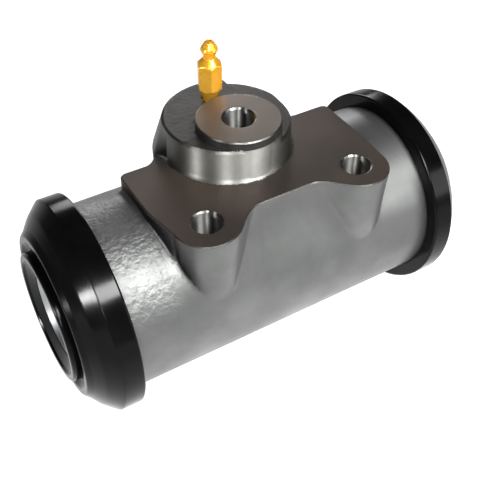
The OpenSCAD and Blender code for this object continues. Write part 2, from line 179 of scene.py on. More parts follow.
@dataclass(frozen=True)
class Finish:
    """A material, from what it is made of and how its surface was made."""

    name: str
    colour: str
    tint: str
    metallic: float
    roughness: float
    rough_spread: float = 0.05
    drift_mm: float = 12.0
    marks: Marks = Marks.GRAIN
    mark_mm: float = 1.0
    mark_depth_mm: float = 0.01
    centre_mm: Place = (0.0, 0.0, 0.0)
    anisotropic: float = 0.0
    coat: float = 0.0
    coat_roughness: float = 0.2
    specular: float = 0.5
    # Where sand-cast skin grows coarse, how much of its relief is left elsewhere and how much rougher it is
    patch_x: Pair = (-41.0, -48.0)
    patch_z: Pair = (-30.0, -20.0)
    patch_least: float = 0.06
    patch_rough: float = 0.0
    # How strongly painted shade darkens the inner corners, and the near black it is mixed towards
    corner_shade: float = 0.0
    painted_shade: str = "#0b0b0b"

    def height(self, tree: NodeTree, place: NodeSocket) -> NodeSocket:
        """Draws the surface's relief.

        Args:
            tree: The material's node tree.
            place: The point on the surface, in millimetres.

        Returns:
            The relief's height, from 0 to 1.
        """
        if self.marks in (Marks.RINGS, Marks.BANDS):
            wave = add_node(tree, "TexWave", {
                "Vector": add_node(tree, "VectorMath", (place, self.centre_mm), operation="SUBTRACT"),
                "Scale": WAVE_PERIOD / self.mark_mm, "Distortion": WAVE_WANDER, "Detail": WAVE_DETAIL},
                wave_type=self.marks.name, bands_direction="Z", rings_direction="Z")
            return wave.outputs["Fac"]
        coarse = add_node(tree, "TexNoise", {
            "Vector": place, "Scale": 1 / self.mark_mm,
            "Detail": GRAIN_DETAIL, "Roughness": GRAIN_ROUGHNESS})
        if self.marks is Marks.GRAIN:
            return coarse.outputs["Fac"]
        share = add_node(tree, "MapRange", {"Value": self.patch(tree, place), "To Min": self.patch_least})
        return add_node(tree, "Math", (coarse, share), operation="MULTIPLY").outputs[0]

    def patch(self, tree: NodeTree, place: NodeSocket) -> NodeSocket:
        """Marks where the cast skin is coarsest: on the barrel beside the left boot.

        Args:
            tree: The material's node tree.
            place: The point on the surface, in millimetres.

        Returns:
            A socket that rises to 1 there.
        """
        split = add_node(tree, "SeparateXYZ", (place,))
        beside, above = (
            add_node(tree, "MapRange", (split.outputs[axis], *run), interpolation_type="SMOOTHSTEP")
            for axis, run in (("X", self.patch_x), ("Z", self.patch_z)))
        return add_node(tree, "Math", (beside, above), operation="MULTIPLY").outputs[0]

    def material(self) -> Material:
        """Builds the material's nodes.

        Returns:
            The new material.
        """
        material = bpy.data.materials.new(self.name)
        tree = blank_tree(material)
        metres = add_node(tree, "TexCoord").outputs["Object"]
        place = add_node(tree, "VectorMath", (metres, (1 / MM,) * 3), operation="MULTIPLY").outputs[0]
        drift = add_node(tree, "TexNoise", {
            "Vector": place, "Scale": 1 / self.drift_mm, "Detail": DRIFT_DETAIL})
        fade = add_node(tree, "MapRange", (drift, *NOISE_RANGE))
        colour = add_node(
            tree, "Mix", {0: fade, 6: linear(self.colour), 7: linear(self.tint)}, data_type="RGBA")
        rough = add_node(tree, "MapRange", (
            drift, *NOISE_RANGE, self.roughness - self.rough_spread, self.roughness + self.rough_spread))
        if self.marks is Marks.SAND:
            coarse = self.patch(tree, place)
            rough = add_node(tree, "Math", (coarse, self.patch_rough, rough), operation="MULTIPLY_ADD")
        # Painted shade: the colour is mixed towards a near black by how deep in an inner corner the point
        # lies
        if self.corner_shade:
            corner = add_node(tree, "Attribute", attribute_name=PAINTED_SHADE_ATTRIBUTE).outputs["Fac"]
            share = add_node(
                tree, "Math", (corner, self.corner_shade), operation="MULTIPLY", use_clamp=True)
            colour = add_node(
                tree, "Mix", {0: share, 6: colour.outputs[2], 7: linear(self.painted_shade)}, data_type="RGBA")
        bump = add_node(tree, "Bump", {
            "Height": self.height(tree, place), "Strength": 1.0, "Distance": self.mark_depth_mm * MM})
        inputs = {
            "Base Color": colour.outputs[2], "Metallic": self.metallic, "Roughness": rough, "Normal": bump,
            "Specular IOR Level": self.specular, "Coat Weight": self.coat,
            "Coat Roughness": self.coat_roughness, "Anisotropic": self.anisotropic}
        if self.anisotropic:
            # The tool's rings run round an upright axis, so highlights stretch along it
            inputs["Tangent"] = add_node(tree, "CombineXYZ", {"Z": 1.0})
        shader = add_node(tree, "BsdfPrincipled", inputs)
        add_node(tree, "OutputMaterial", {"Surface": shader})
        return material


# Sand-cast grey iron under a clear lacquer: satin grey with a soft orange peel, and painted shade in its
# inner corners
CAST_IRON = Finish(
    "sand_cast_iron_lacquered", "#6a6b6a", "#585958", metallic=0.88, roughness=0.43, drift_mm=16.0,
    marks=Marks.SAND, mark_mm=2.0, mark_depth_mm=0.45, coat=0.12, coat_roughness=0.3, patch_rough=0.08,
    corner_shade=1.6)
# Faced iron under a phosphate film: dark and brownish with faint rings, drawn coarser than the 0.2 mm feed
FACED_IRON = Finish(
    "faced_iron_phosphated", "#433e3b", "#4b413a", metallic=0.75, roughness=0.36, drift_mm=30.0,
    marks=Marks.RINGS, mark_mm=1.1, mark_depth_mm=0.006, centre_mm=BOSS_AXIS)
# Skimmed iron on top of the boss: dark grey and uneven, with some cast skin left; on the land's wall its
# darkness is painted shade
SKIMMED_IRON = Finish(
    "skimmed_iron", "#232220", "#32302e", metallic=0.7, roughness=0.42, rough_spread=0.08, drift_mm=5.0,
    mark_mm=1.6, mark_depth_mm=0.08)
# Turned iron: bright, with turning lines that draw highlights out along the axis
TURNED_IRON = Finish(
    "turned_iron", "#8a8a87", "#75746f", metallic=1.0, roughness=0.5, rough_spread=0.04, drift_mm=10.0,
    marks=Marks.BANDS, mark_mm=0.7, mark_depth_mm=0.004, centre_mm=BOSS_AXIS, anisotropic=0.9)
# Drilled and reamed iron: bright, with the reamer's lines round the hole
DRILLED_IRON = Finish(
    "drilled_iron", "#868683", "#72726f", metallic=1.0, roughness=0.4, rough_spread=0.04, drift_mm=4.0,
    marks=Marks.BANDS, mark_mm=0.6, mark_depth_mm=0.004, centre_mm=BOSS_AXIS, anisotropic=0.95)
# Lapped iron of the sealing land: paler than the faced pad and finer
LAPPED_IRON = Finish(
    "lapped_iron_phosphated", "#59514b", "#615953", metallic=0.75, roughness=0.43, rough_spread=0.04,
    marks=Marks.RINGS, mark_mm=0.9, mark_depth_mm=0.005, centre_mm=BOSS_AXIS)
# Honed iron of the bore: smooth and even
HONED_IRON = Finish(
    "honed_iron", "#85868a", "#7a7b7e", metallic=1.0, roughness=0.22, rough_spread=0.03, drift_mm=10.0,
    mark_mm=0.5, mark_depth_mm=0.004)
# Moulded rubber of the boots: black and glossy from a polished mould
BOOT_RUBBER = Finish(
    "moulded_rubber_glossy", "#030303", "#050505", metallic=0.0, roughness=0.16, rough_spread=0.02,
    drift_mm=9.0, mark_mm=1.2, mark_depth_mm=0.004, specular=0.1)
# Moulded nitrile of the cups: matt black
CUP_RUBBER = Finish(
    "moulded_nitrile", "#141415", "#1a1a1b", metallic=0.0, roughness=0.5, drift_mm=6.0, mark_mm=0.6)
# Turned aluminium under a hard anodised film: near black, with a fine grain
PISTON_ALLOY = Finish(
    "hard_anodised_aluminium", "#0d0e0f", "#0a0b0c", metallic=0.2, roughness=0.45, drift_mm=8.0,
    mark_mm=0.5, mark_depth_mm=0.006, specular=0.25)
# The same aluminium where the socket's mouth was cut after anodising: bright, with a soft sheen
BARE_ALLOY = Finish(
    "cut_aluminium", "#a3a5a7", "#8f9193", metallic=1.0, roughness=0.35, rough_spread=0.04, drift_mm=8.0,
    mark_mm=0.5, mark_depth_mm=0.006)
# Pressed steel with a clear zinc plate: pale blue-grey
ZINC_STEEL = Finish(
    "zinc_plated_steel", "#b3b6ba", "#a3a6ab", metallic=1.0, roughness=0.3, drift_mm=5.0, mark_mm=0.8,
    mark_depth_mm=0.006)
# Drawn spring wire: dark grey and smooth
SPRING_STEEL = Finish(
    "drawn_spring_steel", "#77787b", "#67686b", metallic=1.0, roughness=0.3, drift_mm=3.0, mark_mm=0.5,
    mark_depth_mm=0.006)
# Turned steel, zinc plated and yellow passivated: gold that drifts to amber
PASSIVATED_STEEL = Finish(
    "yellow_passivated_steel", "#f6bd45", "#e8a52e", metallic=0.75, roughness=0.2, rough_spread=0.01,
    drift_mm=9.0, mark_mm=1.5, mark_depth_mm=0.001)


def round_union(a: Array, b: Array, radius: Array | float) -> Array:
    """Joins two distance fields with a fillet of the given radius."""
    bend = np.hypot(np.maximum(radius - a, 0), np.maximum(radius - b, 0))
    return np.maximum(radius, np.minimum(a, b)) - bend


def round_cut(a: Array, b: Array, radius: float) -> Array:
    """Keeps what two distance fields share, with their edge rounded."""
    return -round_union(-a, -b, radius)


def chamfer_cut(a: Array, b: Array, leg: float) -> Array:
    """Keeps what two distance fields share, with their edge chamfered."""
    return np.maximum(np.maximum(a, b), (a + b + leg) * SQRT_HALF)


def ramp(value: Array, start: float, end: float) -> Array:
    """Rises smoothly from 0 at start to 1 at end."""
    share = np.clip((value - start) / (end - start), 0, 1)
    return share * share * (3 - 2 * share)


def from_axis(x: Array, y: Array, axis: Pair) -> Array:
    """Distance in plan from an upright axis."""
    return np.hypot(x - axis[0], y - axis[1])


def in_mm(box: Sequence[Vector]) -> list[Array]:
    """A box's lowest and highest corners in millimetres."""
    return [np.array(corner) / MM for corner in box]


def inset(corners: Sequence[Pair], gap: float) -> list[Pair]:
    """Moves the sides of a convex outline inwards.

    Args:
        corners: The outline's corners, counter-clockwise.
        gap: How far each side moves.

    Returns:
        The corners of the smaller outline.
    """
    points = np.array(corners, float)
    runs = np.roll(points, -1, 0) - points
    runs /= np.linalg.norm(runs, axis=1)[:, None]
    inward = np.stack([-runs[:, 1], runs[:, 0]], 1)
    moved = []
    for i in range(len(points)):
        sides = np.array([inward[i - 1], inward[i]])
        moved.append(tuple(np.linalg.solve(sides, sides @ points[i] + gap)))
    return moved


def outline_distance(x: Array, y: Array, corners: Sequence[Pair]) -> Array:
    """Measures how far points lie from a closed outline.

    Args:
        x: The points' first coordinates.
        y: The points' second coordinates.
        corners: The outline's corners in order.

    Returns:
        The distances, negative inside the outline.
    """
    nearest = np.full(x.shape, np.inf)
    inside = np.zeros(x.shape, bool)
    for (ax, ay), (bx, by) in zip(corners, [*corners[1:], corners[0]]):
        dx, dy = bx - ax, by - ay
        share = np.clip(((x - ax) * dx + (y - ay) * dy) / (dx * dx + dy * dy), 0, 1)
        nearest = np.minimum(nearest, np.hypot(x - ax - share * dx, y - ay - share * dy))
        if dy:
            inside ^= ((y < ay) != (y < by)) & (x < ax + (y - ay) * dx / dy)
    return np.where(inside, -nearest, nearest)


def gradient(shape: Field, points: Array, reach: float = 0.03) -> Array:
    """Works out the unit normals of a distance field.

    Args:
        shape: The field.
        points: Where to work them out, in millimetres.
        reach: How far from the points the field is sampled.

    Returns:
        One unit vector for each point.
    """
    corners = np.array([(1, -1, -1), (-1, -1, 1), (-1, 1, -1), (1, 1, 1)], float)
    slope = sum(shape(points + corner * reach)[:, None] * corner for corner in corners)
    return slope / np.maximum(np.linalg.norm(slope, axis=1), TINY)[:, None]


def levels(low: float, high: float, step: float, marks: Sequence[float] = ()) -> Array:
    """Spaces grid planes about a step apart, with some at given places.

    Args:
        low: The first plane.
        high: The last plane.
        step: The widest gap between planes.
        marks: Places that get a plane of their own.

    Returns:
        The planes' places in order.
    """
    stops = [low, *sorted(m for m in marks if low < m < high), high]
    runs = [np.linspace(a, b, math.ceil((b - a) / step), endpoint=False) for a, b in zip(stops, stops[1:])]
    return np.concatenate([*runs, [high]])


@dataclass
class Contour:
    """Turns a distance field to a mesh that keeps its sharp edges.

    Each grid cell that the surface crosses gets one vertex, at the point nearest to the tangent planes
    of its crossings, and each crossed grid edge gets a quad.
    """

    shape: Field
    planes: Sequence[Array]
    # How often the place of a crossing is narrowed down
    rounds: int = 4
    # Pull of a vertex towards the middle of its crossings, against the pull of the planes
    hold: float = 0.02
    # Cosine between normals below which an edge is sharp
    sharp: float = 0.97
    # Share of the way from a corner to its face's middle at which the face's own normal is taken
    inward: float = 0.3

    def crossings(self, values: Array, axis: int) -> tuple[Array, Array, Array]:
        """Finds where the surface crosses the grid edges along an axis.

        Args:
            values: The field at the grid's points.
            axis: The axis that the edges run along.

        Returns:
            The grid index of each crossed edge, the point where it is crossed and whether the
            edge leaves the solid there.
        """
        ahead = np.roll(values, -1, axis)
        crossed = (values < 0) != (ahead < 0)
        last = [slice(None)] * 3
        last[axis] = slice(-1, None)
        crossed[tuple(last)] = False
        index = np.argwhere(crossed)
        low = np.stack([self.planes[a][index[:, a]] for a in range(3)], 1)
        high = low.copy()
        high[:, axis] = self.planes[axis][index[:, axis] + 1]
        start, end = values[crossed], ahead[crossed]
        leaving = start < 0
        for _ in range(self.rounds):
            middle = low + (high - low) * (start / (start - end))[:, None]
            found = self.shape(middle)
            nearer = (found < 0) == leaving
            low[nearer], start[nearer] = middle[nearer], found[nearer]
            high[~nearer], end[~nearer] = middle[~nearer], found[~nearer]
            end = np.where(start == end, end + TINY, end)
        return index, low + (high - low) * (start / (start - end))[:, None], leaving

    def mesh(self) -> tuple[Array, Array, Array]:
        """Builds the mesh.

        Returns:
            The vertices, the triangles' vertex numbers and a normal for each triangle corner.
        """
        grid = np.stack(np.meshgrid(*self.planes, indexing="ij"), -1)
        values = self.shape(grid.reshape(-1, 3)).reshape(grid.shape[:3])
        cells = np.array(values.shape)
        quads, points = [], []
        for axis in range(3):
            index, point, leaving = self.crossings(values, axis)
            first, second = (axis + 1) % 3, (axis + 2) % 3
            ring = np.repeat(index[:, None, :], 4, 1)
            ring[:, :, first] += np.array([-1, 0, 0, -1])
            ring[:, :, second] += np.array([-1, -1, 0, 0])
            ring[~leaving] = ring[~leaving][:, ::-1]
            quads.append(ring @ np.array([cells[1] * cells[2], cells[2], 1]))
            points.append(point)
        names, quads = np.unique(np.concatenate(quads), return_inverse=True)
        quads = quads.reshape(-1, 4)
        return self.triangles(self.vertices(names, quads, np.concatenate(points), cells), quads)

    def vertices(self, names: Array, quads: Array, points: Array, cells: Array) -> Array:
        """Places the vertex of each cell.

        Args:
            names: The number of each crossed cell.
            quads: The cells round each crossing, as places in names.
            points: The crossings.
            cells: How many grid points there are along each axis.

        Returns:
            The vertices.
        """
        normals = gradient(self.shape, points)
        count = len(names)
        owner = quads.ravel()
        share = np.repeat(np.arange(len(points)), 4)

        def total(amount: Array) -> Array:
            """Adds up an amount over the crossings of each cell."""
            return np.bincount(owner, weights=amount[share], minlength=count)

        weight = total(np.ones(len(points)))
        middle = np.stack([total(points[:, a]) for a in range(3)], 1) / weight[:, None]
        pull = np.empty((count, 3, 3))
        for a in range(3):
            for b in range(3):
                pull[:, a, b] = total(normals[:, a] * normals[:, b])
        reach = (normals * points).sum(1)
        target = np.stack([total(normals[:, a] * reach) for a in range(3)], 1)
        target -= np.einsum("nab,nb->na", pull, middle)
        shift = np.linalg.solve(pull + self.hold * np.eye(3), target[:, :, None])[:, :, 0]
        place = middle + shift
        cell = np.stack(np.unravel_index(names, cells), 1)
        for a in range(3):
            place[:, a] = np.clip(place[:, a], self.planes[a][cell[:, a]], self.planes[a][cell[:, a] + 1])
        return place

    def triangles(self, vertices: Array, quads: Array) -> tuple[Array, Array, Array]:
        """Splits the quads along the surface's edges and works out the corners' normals.

        Args:
            vertices: The vertices.
            quads: The quads' vertex numbers.

        Returns:
            The vertices, the triangles and a normal for each triangle corner.
        """
        at_vertex = gradient(self.shape, vertices)
        diagonals = ([0, 1, 2, 0, 2, 3], [1, 2, 3, 1, 3, 0])
        halves = [quads[:, diagonal].reshape(-1, 2, 3) for diagonal in diagonals]
        error = []
        for half in halves:
            corner = vertices[half]
            across = np.cross(corner[:, :, 1] - corner[:, :, 0], corner[:, :, 2] - corner[:, :, 0])
            truth = gradient(self.shape, corner.mean(2).reshape(-1, 3)).reshape(-1, 2, 3)
            error.append((np.linalg.norm(across, axis=2) - (across * truth).sum(2)).sum(1))
        faces = np.where((error[0] <= error[1])[:, None, None], halves[0], halves[1]).reshape(-1, 3)
        corners = vertices[faces]
        # A little way into the face the normal is the face's own, even beside a sharp edge
        inner = corners + (corners.mean(1, keepdims=True) - corners) * self.inward
        own = gradient(self.shape, inner.reshape(-1, 3)).reshape(-1, 3, 3)
        normals = at_vertex[faces]
        turned = (normals * own).sum(2) < self.sharp
        return vertices, faces, np.where(turned[:, :, None], own, normals)


def link(name: str, data: Any) -> Object:
    """Makes an object and links it to the scene.

    Args:
        name: The object's name.
        data: Its mesh, lamp or camera.

    Returns:
        The new object.
    """
    made = bpy.data.objects.new(name, data)
    bpy.context.scene.collection.objects.link(made)
    return made


def make_object(name: str, vertices: Array, faces: Array, normals: Array, finishes: Sequence[Finish],
                slots: Array | None = None) -> Object:
    """Makes a smooth-shaded object from arrays.

    Args:
        name: The piece's name.
        vertices: Points in millimetres.
        faces: Vertex numbers of each face.
        normals: One normal for each face corner.
        finishes: The object's materials in slot order.
        slots: The material slot of each face.

    Returns:
        The new object, linked to the scene.
    """
    mesh = bpy.data.meshes.new(name)
    mesh.from_pydata((vertices.reshape(-1, 3) * MM).tolist(), [], faces.tolist())
    for finish in finishes:
        mesh.materials.append(finish.material())
    mesh.polygons.foreach_set("use_smooth", np.ones(len(faces), bool))
    if slots is not None:
        mesh.polygons.foreach_set("material_index", slots.astype(np.int32))
    mesh.normals_split_custom_set(normals.reshape(-1, 3).tolist())
    mesh.update()
    return link(name, mesh)


def grid_quads(rows: int, columns: int, closed: bool) -> Array:
    """Numbers the quads of a grid of points whose rows are rings.

    Args:
        rows: How many rows there are.
        columns: How many points each row has.
        closed: Whether the last row joins the first.

    Returns:
        Four point numbers for each quad: along a row, then back along the next one.
    """
    row, column = np.meshgrid(np.arange(rows if closed else rows - 1), np.arange(columns), indexing="ij")
    below, beside = (row + 1) % rows, (column + 1) % columns
    corners = [(row, column), (row, beside), (below, beside), (below, column)]
    return np.stack([r * columns + c for r, c in corners], -1).reshape(-1, 4)


@dataclass(frozen=True)
class BoreLine:
    """The bore's axis, the barrel's middle and the distance from there to its ends, in millimetres."""

    y: float
    z: float
    middle: float
    half: float

    @classmethod
    def from_frame(cls) -> "BoreLine":
        """Reads the bore's place off the frame.

        Returns:
            The axis of the left boot, with the casting's length.
        """
        low, high = in_mm(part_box("cylinder_body"))
        boot_low, boot_high = in_mm(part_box("left_boot"))
        centre = (boot_low + boot_high) / 2
        return cls(centre[1], centre[2], (low[0] + high[0]) / 2, (high[0] - low[0]) / 2)

    def point(self, along: float = 0.0) -> Vector:
        """A point on the axis in metres, some way from the barrel's middle."""
        return Vector((self.middle + along, self.y, self.z)) * MM


@dataclass
class Casting:
    """The iron body: barrel, lugged mounting pad, port boss, machined faces and holes."""

    bore: BoreLine
    grid_mm: float = 1.0
    grid_margin: float = 1.5
    # Grid planes this far under a chamfer and over its face keep the edges clean
    plane_below: float = 0.35
    plane_above: float = 0.4
    barrel_r: float = 34.0
    bore_r: float = 25.4
    bore_chamfer: float = 1.2
    end_chamfer: float = 1.2
    groove_r: float = 32.0
    groove_w: float = 4.0
    groove_inset: float = 4.5
    bolt: Pair = (29.5, 0.0)
    bolt_r: float = 5.1
    bolt_depth: float = 15.0
    sink: float = 0.5
    lug_r: float = 11.7
    # The lugs narrow downwards and run out into the barrel
    lug_taper: float = 0.05
    lug_foot: float = -29.0
    lug_foot_round: float = 5.0
    lug_blend: float = 8.0
    pad_left: float = -43.8
    pad_right: float = 42.0
    pad_back: float = 36.0
    pad_side_run: float = 14.0
    recess_step: float = 0.8
    pad_corner_r: float = 2.5
    draft: float = 0.03
    wall_blend: float = 1.8
    recess_blend: float = 9.0
    least_blend: float = 0.3
    # Each pair is where a fillet starts to change and where it has changed in full
    lug_blend_x: Pair = (31.5, 23.5)
    recess_x: Pair = (27.0, 8.0)
    recess_y: Pair = (8.0, 2.0)
    front_y: Pair = (4.0, -9.0)
    back_y: Pair = (38.0, 50.0)
    foot_y: Pair = (40.0, 36.0)
    # How much of the wall's fillet is lost towards the front and the back
    front_loss: float = 0.8
    back_loss: float = 0.96
    face_chamfer: float = 0.4
    # How far from a wall a corner is felt for the painted shade, the shade's least share and the facing
    # along the barrel that gets it in full
    corner_reach: float = 14.0
    painted_shade_least: float = 0.25
    painted_shade_facing: Pair = (0.3, 0.9)
    boss: Pair = BOSS_AXIS[:2]
    boss_r: float = 26.5
    boss_front: float = 37.0
    boss_run: float = 4.0
    boss_back: float = 55.8
    boss_root: float = 3.0
    boss_flare: float = 5.0
    spigot_r: float = 22.5
    spigot_h: float = 12.5
    spigot_chamfer: float = 0.7
    spigot_fillet: float = 1.5
    relief_x: float = 7.2
    relief_z: float = 10.5
    land_r: float = 14.8
    land_top: float = 15.7
    port: Pair = (BOSS_AXIS[0], 25.2)
    port_r: float = 5.5
    port_floor: float = 3.7
    feed_r: float = 1.75
    bleed: Pair = (BOSS_AXIS[0], 45.0)
    bleed_r: float = 3.15
    bleed_floor: float = -0.5
    bleed_feed_r: float = 1.2
    finishes: tuple[Finish, ...] = (
        CAST_IRON, FACED_IRON, SKIMMED_IRON, TURNED_IRON, DRILLED_IRON, HONED_IRON, LAPPED_IRON)
    pad_outline: list[Pair] = field(init=False)

    def __post_init__(self) -> None:
        """Works out the pad's outline inside its rounded corners."""
        bolt_x, lug_side = self.bolt[0], self.bolt[0] + self.lug_r
        sides = [
            (self.pad_left, self.pad_back), (self.pad_left, self.pad_side_run), (-lug_side, 0.0),
            (-bolt_x, -self.recess_step), (bolt_x, -self.recess_step), (lug_side, 0.0),
            (self.pad_right, self.pad_side_run), (self.pad_right, self.pad_back)]
        self.pad_outline = inset(sides, self.pad_corner_r)

    def radius(self, points: Array) -> Array:
        """Measures from points to the bore's axis."""
        return np.hypot(points[:, 1] - self.bore.y, points[:, 2] - self.bore.z)

    def barrel(self, points: Array) -> Array:
        """Measures from points to the barrel with its boot grooves.

        Args:
            points: Rows of x, y and z in millimetres.

        Returns:
            The distances, negative inside.
        """
        radius = self.radius(points)
        along = np.abs(points[:, 0] - self.bore.middle)
        tube = chamfer_cut(radius - self.barrel_r, along - self.bore.half, self.end_chamfer)
        groove_at = self.bore.half - self.groove_inset
        beside = np.abs(along - groove_at) - self.groove_w / 2
        return np.maximum(tube, -np.maximum(self.groove_r - radius, beside))

    def pad(self, points: Array) -> Array:
        """Measures from points to the upright walls of the pad, its lugs and the boss's column.

        Args:
            points: Rows of x, y and z in millimetres.

        Returns:
            The distances, negative inside.
        """
        x, y, z = points.T
        depth = np.minimum(z, 0)
        slab = outline_distance(x, y, self.pad_outline) - self.pad_corner_r + depth * self.draft
        lug = from_axis(np.abs(x), y, self.bolt) - self.lug_r - depth * self.lug_taper
        lug = round_cut(lug, self.lug_foot - z, self.lug_foot_round)
        # The fillet is on the lug's inner side only
        inner = ramp(np.abs(x), *self.lug_blend_x)
        blend = self.least_blend + (self.lug_blend - self.least_blend) * inner
        column = np.maximum(from_axis(x, y, self.boss) - self.boss_r, y - self.boss_back)
        walls = round_union(round_union(slab, lug, blend), column, self.boss_flare)
        return np.maximum(walls, self.bore.z - z)

    def port_boss(self, points: Array) -> Array:
        """Measures from points to the spigot and its tapered back.

        Args:
            points: Rows of x, y and z in millimetres.

        Returns:
            The distances, negative inside.
        """
        x, y, z = points.T
        step = np.minimum(x - self.relief_x, z - self.relief_z)
        top = chamfer_cut(z - self.spigot_h, step, self.face_chamfer)
        # The wall is upright in front and leans out towards the back
        behind = ramp(y, self.boss_front - self.boss_run, self.boss_front + self.boss_run)
        lean = (self.boss_r - self.spigot_r) * behind
        slope = lean / self.spigot_h
        reach = from_axis(x, y, self.boss) - self.spigot_r
        wall = (reach - lean + slope * np.clip(z, 0, self.spigot_h)) / np.hypot(1, slope)
        boss = chamfer_cut(np.maximum(wall, y - self.boss_back), top, self.spigot_chamfer)
        return np.maximum(boss, -z - self.boss_root)

    def land(self, points: Array) -> Array:
        """Measures from points to the raised sealing land round the port.

        Args:
            points: Rows of x, y and z in millimetres.

        Returns:
            The distances, negative inside.
        """
        x, y, z = points.T
        reach = from_axis(x, y, self.port) - self.land_r
        return np.maximum(chamfer_cut(reach, z - self.land_top, self.face_chamfer), -z)

    def drilling(self, reach: Array, z: Array, top: float, floor: float) -> Array:
        """Measures from points to a drilled hole with a countersunk mouth and a drill's point.

        Args:
            reach: The points' distances from the hole's wall, negative inside.
            z: Their heights.
            top: Height of the mouth.
            floor: Height at which the round wall ends.

        Returns:
            The distances, negative inside the hole.
        """
        point = (reach + (floor - z) * math.tan(DRILL_HALF)) * math.cos(DRILL_HALF)
        mouth = np.maximum((reach - self.sink - z + top) * SQRT_HALF, top - 2 * self.sink - z)
        return np.minimum(np.maximum(reach, point), mouth)

    def holes(self, points: Array) -> Array:
        """Measures from points to everything that is bored or drilled out.

        Args:
            points: Rows of x, y and z in millimetres.

        Returns:
            The distances, negative inside a hole.
        """
        x, y, z = points.T
        along = np.abs(x - self.bore.middle)
        bore = self.radius(points) - self.bore_r
        bolt = from_axis(np.abs(x), y, self.bolt) - self.bolt_r
        port, bleed = from_axis(x, y, self.port), from_axis(x, y, self.bleed)
        return np.minimum.reduce([
            bore,
            (bore - self.bore_chamfer + self.bore.half - along) * SQRT_HALF,
            self.drilling(bolt, z, 0, -self.bolt_depth),
            self.drilling(port - self.port_r, z, self.land_top, self.port_floor),
            np.maximum(port - self.feed_r, self.bore.z - z),
            np.maximum(bleed - self.bleed_r, self.bleed_floor - z),
            np.maximum(bleed - self.bleed_feed_r, self.bore.z - z)])

    def shape(self, points: Array) -> Array:
        """Measures from points to the casting's surface.

        Args:
            points: Rows of x, y and z in millimetres.

        Returns:
            The distances, negative inside the iron.
        """
        x, y, z = points.T
        recess = ramp(np.abs(x), *self.recess_x) * ramp(y, *self.recess_y)
        # A wall that runs nearly along the barrel's surface gets almost no fillet
        front, back = ramp(y, *self.front_y), ramp(y, *self.back_y)
        steep = (1 - self.front_loss * front) * (1 - self.back_loss * back)
        blend = self.wall_blend * steep + self.recess_blend * recess
        body = round_union(self.barrel(points), self.pad(points), blend)
        body = chamfer_cut(body, z, self.face_chamfer)
        foot = self.least_blend + (self.spigot_fillet - self.least_blend) * ramp(y, *self.foot_y)
        body = round_union(body, self.port_boss(points), foot)
        body = np.minimum(body, self.land(points))
        return np.maximum(body, -self.holes(points))

    def skins(self, points: Array, normals: Array) -> Array:
        """Tells how each face was made.

        Args:
            points: The faces' middles in millimetres.
            normals: The faces' normals.

        Returns:
            A Skin number for each face.
        """
        x, y, z = points.T
        up = normals[:, 2]
        boss, port, bleed = (from_axis(x, y, axis) for axis in (self.boss, self.port, self.bleed))
        bolt = from_axis(np.abs(x), y, self.bolt)
        # How far off its surface a face's middle may lie: at a wall, a face, a foot, a rim and an edge
        wall, near, ledge, rim, edge = 1.0, 0.5, 0.2, 0.1, 0.05
        # Upward part of the normal above which a face is a chamfer, a rough top or a level top
        chamfer, rough, level = 0.4, 0.85, 0.9
        skin = np.full(len(points), Skin.CAST)
        skin[np.abs(x - self.bore.middle) > self.bore.half - self.end_chamfer - near] = Skin.TURNED
        skin[(z > -near) & (up > chamfer)] = Skin.SKIMMED
        skin[(z > -near) & (up > level)] = Skin.FACED
        front = (z > edge) & (y < self.boss_front - self.boss_run / 2)
        reach = self.spigot_r + wall + np.clip(self.spigot_fillet - z, 0, None)
        skin[front & (boss > self.spigot_r - wall) & (boss < reach)] = Skin.TURNED
        skin[(z > self.relief_z - near) & (up > rough)] = Skin.SKIMMED
        # The land's wall gets the dark skimmed finish as painted shade, for the shade under the land's rim
        foot = np.where(x > self.relief_x, self.relief_z, self.spigot_h) + ledge
        skin[(z > foot) & (np.abs(port - self.land_r) < near)] = Skin.SKIMMED
        skin[z > self.land_top - self.face_chamfer - ledge] = Skin.TURNED
        skin[(z > self.land_top - near) & (up > level)] = Skin.LAND
        drilled = (bolt < self.bolt_r + self.sink + rim) & (z < 0)
        drilled |= (port < self.port_r + self.sink + rim) & (z < self.land_top)
        drilled &= up < level
        drilled |= (bleed < self.bleed_r + rim) & (z < self.spigot_h - edge)
        skin[drilled & (z > self.bore.z)] = Skin.DRILLED
        skin[self.radius(points) < self.bore_r + self.bore_chamfer] = Skin.HONED
        return skin

    def build(self) -> Object:
        """Meshes the casting and hangs it on the frame.

        Returns:
            The casting.
        """
        heights = []
        for top, chamfer in ((0.0, self.face_chamfer), (self.relief_z, self.face_chamfer),
                             (self.spigot_h, self.spigot_chamfer), (self.land_top, self.face_chamfer)):
            heights += [top - chamfer - self.plane_below, top - chamfer / 2, top + self.plane_above]
        low, high = in_mm(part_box("cylinder_body"))
        planes = [
            levels(a - self.grid_margin, b + self.grid_margin, self.grid_mm, marks)
            for a, b, marks in zip(low, high, ((), (), heights))]
        vertices, faces, normals = Contour(self.shape, planes).mesh()
        slots = self.skins(vertices[faces].mean(1), normals.mean(1))
        piece = make_object("iron_casting", vertices, faces, normals, self.finishes, slots)
        # Painted shade: how deep each point lies in an inner corner, from the field a little way out along
        # its normal, is kept on the mesh for the cast iron's colour
        outward = gradient(self.shape, vertices)
        clear = self.shape(vertices + outward * self.corner_reach) / self.corner_reach
        # Painted shade darkens the inner corners, most on the walls that face along the barrel
        facing = ramp(np.abs(outward[:, 0]), *self.painted_shade_facing)
        painted_shade = np.clip(1 - clear, 0, 1) * (self.painted_shade_least + (1 - self.painted_shade_least) * facing)
        shade = piece.data.attributes.new(PAINTED_SHADE_ATTRIBUTE, "FLOAT", "POINT")
        shade.data.foreach_set("value", painted_shade.astype(np.float32))
        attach(piece, "housing")
        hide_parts("cylinder_body")
        return piece


@dataclass(frozen=True)
class Corner:
    """A corner of a turned section: radius, place along the axis and the rounding there."""

    r: float
    x: float
    rounding: float


